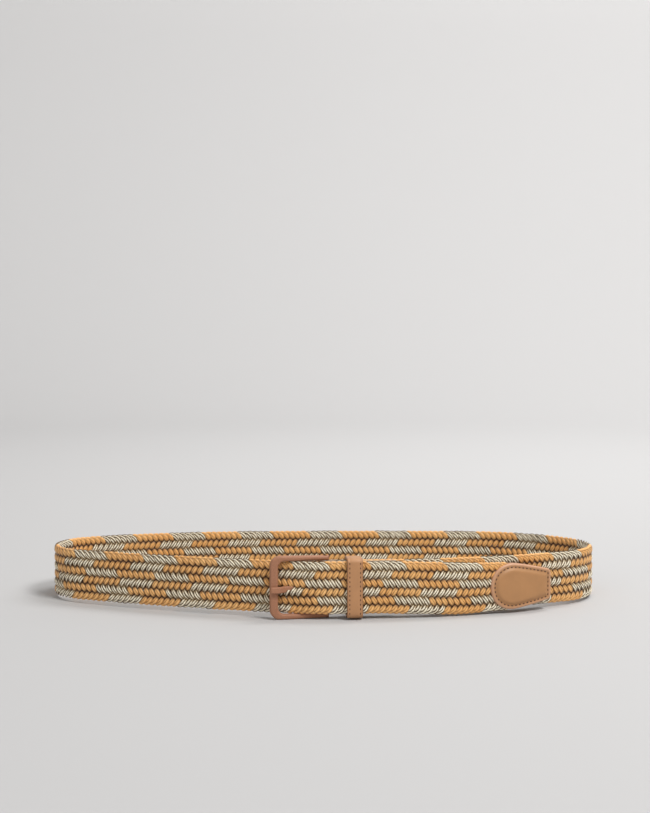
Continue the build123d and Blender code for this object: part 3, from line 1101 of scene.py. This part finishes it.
@dataclass
class Keeper:
    """The sliding leather loop, sewn near both edges and stapled at the back."""

    route: Route
    width: float = 10.7 * MM
    height: float = 40.2 * MM
    centre: float = 19.3 * MM
    rise: float = -0.1 * MM
    ply: float = 1.2 * MM
    lining: float = 0.8 * MM
    slack: float = 0.6 * MM
    inside: float = 3.6 * MM
    half_strap: float = 2.3 * MM
    corner: float = 3.2 * MM
    gap: float = 0.3 * MM
    thread_inset: float = 1.75 * MM
    stitch_pitch: float = 3.05 * MM
    stitches: int = 12
    stitch_sunk: float = 0.14 * MM
    edge_fade: float = 0.9 * MM

    def __post_init__(self) -> None:
        """Finds the front and back faces in the belt's own axes."""
        both = self.ply + self.lining
        self.front = -(self.route.lap + self.half_strap + self.slack + both)
        self.back = self.inside + self.slack + both

    def path(self) -> tuple[Array, Array]:
        """Works out the outer face seen along the strap: a rounded rectangle, open at the back.

        It is four quarter circles and the two ends at the gap, joined by straight runs.

        Returns:
            (n, 2) places across and up, and (n, 2) unit vectors out of the loop.
        """
        inner_height = self.height / 2 - self.corner
        turn = np.linspace(0, math.pi / 2, 9)
        arc = np.stack([np.cos(turn), np.sin(turn)], axis=-1)
        steps = np.linspace(0, 1, 12)[1:-1, None]
        behind = np.array([[1.0, 0.0]])
        stops = [(np.array([[self.back, self.gap / 2]]), behind)]
        for number, (across, up) in enumerate(((1.0, 1.0), (-1.0, 1.0), (-1.0, -1.0), (1.0, -1.0))):
            x = self.back - self.corner if across > 0 else self.front + self.corner
            way = arc * np.array([across, up])
            way = way[::-1] if number % 2 else way
            stops.append((np.array([x, up * inner_height]) + way * self.corner, way))
        stops.append((np.array([[self.back, -self.gap / 2]]), behind))
        rows, ways = [stops[0][0]], [stops[0][1]]
        for (places, facing), (next_places, next_facing) in zip(stops, stops[1:]):
            rows += [places[-1] + (next_places[0] - places[-1]) * steps, next_places]
            ways += [np.broadcast_to(facing[-1], (len(steps), 2)), next_facing]
        return np.concatenate(rows) + np.array([0.0, self.rise]), np.concatenate(ways)

    def leather(self) -> bpy.types.Object:
        """Carries the ply's section round the path: rounded edges and a pressed line under each seam."""
        half = self.width / 2
        groove = half - self.thread_inset
        lines = [
            (-half + 0.05 * MM, self.ply), (-half, self.ply * 0.55), (-half + 0.12 * MM, 0.22 * MM),
            (-half + 0.45 * MM, 0.03 * MM), (-groove - 0.5 * MM, 0.0), (-groove, 0.16 * MM),
            (-groove + 0.5 * MM, 0.0), (-1.2 * MM, -0.03 * MM),
        ]
        lines += [(-place, depth) for place, depth in reversed(lines)]
        across, sunk = np.array(lines).T
        path, way = self.path()
        spot = path[:, None, :] - way[:, None, :] * sunk[None, :, None]
        x = np.broadcast_to(self.centre + across, spot.shape[:2])
        places = self.route.stand(np.concatenate([x[..., None], spot], axis=-1))
        edge = np.clip((np.abs(across) - half) / self.edge_fade + 1, 0, 1)
        length = distance_along(path) / MM
        worn = np.broadcast_to(edge, spot.shape[:2])
        return ring_mesh("keeper_loop", places[None], length[None], {"edge": worn[None]})

    def seam(self, side: float) -> Array:
        """Places the stitches of one seam, front and back.

        Args:
            side: -1 for the buckle's side and 1 for the tip's.

        Returns:
            (n, rings, sides, 3) places in the frame.
        """
        up = (np.arange(self.stitches) - (self.stitches - 1) / 2) * self.stitch_pitch + self.rise
        x = np.full(self.stitches, self.centre + side * (self.width / 2 - self.thread_inset))
        along = np.broadcast_to(np.array([0.0, 0.0, 1.0]), (self.stitches, 3))
        rings = []
        for face, outward in ((self.front, -1.0), (self.back, 1.0)):
            spots = np.stack([x, np.full(self.stitches, face - outward * self.stitch_sunk), up], axis=-1)
            out = np.broadcast_to(outward * OUTWARD, (self.stitches, 3))
            rings.append(stitch_rings(spots, along, out, 1.4 * MM, 0.75 * MM, 0.32 * MM))
        return self.route.stand(np.concatenate(rings))

    def build(self) -> list[bpy.types.Object]:
        """Makes the loop and both seams, and dresses the lining and the staple.

        Returns:
            The pieces.
        """
        face = SmoothLeather("keeper_leather_face", (0.47, 0.235, 0.105), (0.30, 0.135, 0.06), 0.45)
        lining = SmoothLeather("keeper_lining_leather", (0.43, 0.25, 0.135), (0.34, 0.16, 0.08), 0.65)
        thread = SewingThread("keeper_thread_wax", (0.12, 0.045, 0.018)).material()
        loop = dress(self.leather(), face.material())
        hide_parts("keeper_leather")
        made = [loop]
        for side, word in ((-1.0, "buckle_side"), (1.0, "tip_side")):
            stitches = piece_of_stitches(f"keeper_stitches_{word}", self.seam(side))
            dress(stitches, thread)
            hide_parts(f"keeper_thread_{word}")
            made.append(stitches)
        for piece in made:
            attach(piece, "keeper")
        repaint("keeper_lining", lining.material())
        repaint("keeper_staple", DrawnWire("staple_wire").material())
        return made


def repaint(node: str, material: bpy.types.Material) -> None:
    """Gives a CAD node a better material in every slot."""
    piece = frame["nodes"][node]
    if not piece.material_slots:
        piece.data.materials.append(material)
    for place in piece.material_slots:
        place.material = material


# ---- Chape -----------------------------------------------------------------------


@dataclass
class Chape:
    """The leather strip folded round the hinge pin and sewn to both faces of the braid's start."""

    route: Route
    thickness: float = 1.2 * MM
    height: float = 35.2 * MM
    length: float = 48.0 * MM
    level: float = 8.0 * MM
    wrap: float = 2.15 * MM
    out: float = 3.0 * MM
    slot_end: float = 6.5 * MM
    slot_low: float = -1.2 * MM
    slot_half: float = 2.55 * MM
    thread_inset: float = 2.6 * MM
    thread_start: float = 9.0 * MM
    stitch_pitch: float = 3.0 * MM
    stitch_sunk: float = 0.14 * MM
    fold_overlap: float = 1.2 * MM
    edge_round: float = 0.7

    def section_ring(self, low: Array, high: Array, sides: int = 6) -> tuple[Array, Array]:
        """Returns a rounded strip section for each path point: across and up places, (n, sides)."""
        turn = np.linspace(0, math.pi, sides)
        half = self.thickness / 2
        across = np.concatenate([np.cos(turn), -np.cos(turn)]) * half
        lift = np.concatenate([np.sin(turn), -np.sin(turn)]) * half * self.edge_round
        top = high[:, None] - half * self.edge_round + lift[None, :sides]
        bottom = low[:, None] + half * self.edge_round + lift[None, sides:]
        return np.broadcast_to(across, (len(low), 2 * sides)), np.concatenate([top, bottom], axis=1)

    def strip(self, path: Array, low: Array, high: Array) -> tuple[Array, Array]:
        """Carries the strip's section along a path in plan.

        Args:
            path: (n, 2) places in the belt's own axes.
            low: (n,) lower edge heights.
            high: (n,) upper edge heights.

        Returns:
            (n, sides, 3) places in the belt's own axes, and (n, sides) edge values.
        """
        way = unit(np.gradient(path, axis=0))
        normal = np.stack([way[:, 1], -way[:, 0]], axis=-1)
        across, up = self.section_ring(low, high)
        spot = path[:, None, :] + normal[:, None, :] * across[..., None]
        middle = (low + high)[:, None] / 2
        edge = smooth(np.abs(up - middle) / ((high - low)[:, None] / 2), 0.93, 1.0)
        return np.concatenate([spot, up[..., None]], axis=-1), edge

    def side(self, x: Array) -> Array:
        """Returns how far a ply's middle lies from the belt's axis: an S curve from the wrap to the ply."""
        return self.wrap + (self.out - self.wrap) * smooth(x, 0.0, self.level)

    def fold_path(self) -> Array:
        """Works out the fold in plan: in along the outer ply, round the pin and out along the inner ply."""
        turn = np.linspace(-math.pi / 2, -3 * math.pi / 2, 25)
        bend = np.stack([self.wrap * np.cos(turn), self.wrap * np.sin(turn)], axis=-1)
        lead = np.linspace(self.slot_end + self.fold_overlap, 0, 9)[:-1]
        first = np.stack([lead, -self.side(lead)], axis=-1)
        return np.concatenate([first, bend, (first * [1, -1])[::-1]])

    def ply_path(self, sign: float) -> Array:
        """Works out one ply in plan, from the slot's end to its own."""
        x = np.linspace(self.slot_end, self.length, 40)
        return np.stack([x, sign * self.side(x)], axis=-1)

    def build(self) -> list[bpy.types.Object]:
        """Makes the folded strip and its stitching.

        Returns:
            The pieces.
        """
        half = self.height / 2
        leather = SmoothLeather("chape_hide", (0.40, 0.245, 0.14), (0.45, 0.34, 0.24), 0.6).material()
        thread = SewingThread("chape_thread_wax", (0.22, 0.12, 0.06)).material()
        made = []
        fold = self.fold_path()
        top_gap, low_gap = self.slot_low + self.slot_half, self.slot_low - self.slot_half
        shapes = [
            (self.ply_path(-1.0), -half, half),
            (self.ply_path(1.0)[::-1], -half, half),
            (fold, top_gap, half),
            (fold, -half, low_gap),
        ]
        for number, (path, low, high) in enumerate(shapes, start=1):
            rings, edge = self.strip(path, np.full(len(path), low), np.full(len(path), high))
            along = np.arange(len(path), dtype=float)
            name = f"chape_strip_{number}"
            piece = ring_mesh(name, self.route.stand(rings)[None], along[None], {"edge": edge[None]})
            made.append(dress(piece, leather))
            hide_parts("chape_leather")
        stitches = dress(piece_of_stitches("chape_stitches", self.seam()), thread)
        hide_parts("chape_thread")
        made.append(stitches)
        for piece in made:
            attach(piece, "belt")
        return made

    def seam(self) -> Array:
        """Places the stitches along both edges and the end of each ply.

        Returns:
            (n, rings, sides, 3) places in the frame.
        """
        high = self.height / 2 - self.thread_inset
        end = self.length - self.thread_inset
        x = np.arange(self.thread_start + self.stitch_pitch / 2, end, self.stitch_pitch)
        z = np.arange(-high + self.stitch_pitch / 2, high, self.stitch_pitch)
        spots = np.concatenate(
            [
                np.stack([x, np.zeros(len(x)), np.full(len(x), high)], -1),
                np.stack([x, np.zeros(len(x)), np.full(len(x), -high)], -1),
                np.stack([np.full(len(z), end), np.zeros(len(z)), z], -1),
            ]
        )
        along = np.zeros_like(spots)
        along[: 2 * len(x), 0] = 1.0
        along[2 * len(x) :, 2] = 1.0
        rings = []
        for sign in (-1.0, 1.0):
            face = spots + sign * (self.out + self.thickness / 2 - self.stitch_sunk) * OUTWARD
            out = np.broadcast_to(sign * OUTWARD, spots.shape)
            rings.append(stitch_rings(face, along, out, 1.9 * MM, 0.65 * MM, 0.32 * MM))
        return self.route.stand(np.concatenate(rings))


# ---- Studio ----------------------------------------------------------------------


@dataclass
class Studio:
    """The seamless paper, the lights and the camera."""

    route: Route
    distance: float = 0.8914
    camera_height: float = 0.2048
    pitch: float = 3.963
    lens: float = 59.13
    sweep_start: float = 1.5
    sweep_radius: float = 0.9
    wall_height: float = 1.5
    floor_radius: float = 0.4
    sides: int = 96
    room_strength: float = 0.50
    lights: tuple[tuple, ...] = (
        ("key", (0.70, -0.70, 1.30), 0.45, 17.0, (0.0, 0.0, 0.0)),
        ("fill", (-0.9, -1.6, 0.7), 1.2, 5.0, (0.0, 0.0, 0.0)),
        ("wall_wash", (0.8, 0.6, 1.9), 1.2, 46.0, (0.2, 2.2, 0.9)),
    )

    def paper(self) -> None:
        """Makes the floor: a flat disc whose rim curves up all round into a wall, by a quarter circle."""
        turn = np.linspace(0, math.pi / 2, 16)
        radius = np.concatenate([[self.floor_radius], self.sweep_start + self.sweep_radius * np.sin(turn)])
        rise = np.concatenate([[0.0], self.sweep_radius * (1 - np.cos(turn))])
        radius = np.append(radius, radius[-1])
        rise = np.append(rise, self.wall_height)
        sides = self.sides
        around = np.arange(sides) * (2 * math.pi / sides)
        x = radius[:, None] * np.cos(around)[None, :]
        y = radius[:, None] * np.sin(around)[None, :]
        z = np.broadcast_to(rise[:, None], x.shape)
        points = np.concatenate([np.stack([x, y, z], axis=-1).reshape(-1, 3), [[0.0, 0.0, 0.0]]])
        ring, side = np.meshgrid(np.arange(len(radius) - 1) * sides, np.arange(sides), indexing="ij")
        after = (side + 1) % sides
        outer = ring + sides
        quads = np.stack([ring + side, outer + side, outer + after, ring + after], -1).reshape(-1, 4)
        disc = np.arange(sides)
        fan = np.stack([np.full(sides, len(points) - 1), disc, (disc + 1) % sides], axis=-1)
        uv = [np.zeros((len(quads), 4, 2)), np.zeros((sides, 3, 2))]
        floor = new_object("paper", points, [quads, fan], uv, {})
        floor.data.materials.append(StudioPaper().material())

    @staticmethod
    def light(name: str, place: Sequence[float], size: float, power: float, aim: Sequence[float]) -> None:
        """Adds one soft square light.

        Args:
            name: Its name.
            place: Where it is.
            size: Its side.
            power: Its power in watts.
            aim: What it points at.
        """
        lamp = bpy.data.lights.new(name, "AREA")
        lamp.size = size
        lamp.energy = power
        body = bpy.data.objects.new(name, lamp)
        body.location = place
        body.rotation_euler = (Vector(aim) - Vector(place)).to_track_quat("-Z", "Y").to_euler()
        bpy.context.scene.collection.objects.link(body)

    def build(self) -> None:
        """Makes everything that isn't the belt."""
        self.paper()
        world = bpy.data.worlds.new("room")
        world.use_nodes = True
        room = world.node_tree.nodes["Background"]
        room.inputs["Color"].default_value = (1.0, 1.0, 1.0, 1.0)
        room.inputs["Strength"].default_value = self.room_strength
        bpy.context.scene.world = world
        bpy.context.scene.view_settings.view_transform = "Standard"
        for lamp in self.lights:
            self.light(*lamp)
        self.camera()

    def camera(self) -> None:
        """Adds the camera, level with the hinge pin across the view and looking slightly down."""
        lens = bpy.data.cameras.new("camera")
        lens.lens = self.lens
        lens.clip_end = 20.0
        body = bpy.data.objects.new("camera", lens)
        hinge = self.route.origin
        body.location = (hinge[0], hinge[1] - self.distance, self.camera_height)
        body.rotation_euler = (math.radians(90 - self.pitch), 0.0, 0.0)
        bpy.context.scene.collection.objects.link(body)
        bpy.context.scene.camera = body


# ---- Assembly --------------------------------------------------------------------


def dress_metal() -> None:
    """Paints the buckle, its prong and its pin."""
    coat = PowderCoat().material()
    repaint("buckle_frame", coat)
    repaint("prong", coat)
    repaint("hinge_pin", DrawnWire("pin_wire").material())


def main() -> None:
    """Builds the belt and its studio in order."""
    logging.basicConfig(level=logging.INFO, format="%(name)s: %(message)s")
    route = Route()
    makers: Sequence[tuple[str, Callable[[], list[bpy.types.Object]]]] = (
        ("braid", Braid(route).build),
        ("tip", Tip(route).build),
        ("keeper", Keeper(route).build),
        ("chape", Chape(route).build),
    )
    for name, build in makers:
        for piece in build():
            log.info("%s: %s, %d faces", name, piece.name, len(piece.data.polygons))
    dress_metal()
    Studio(route).build()


if __name__ == "__main__":
    main()
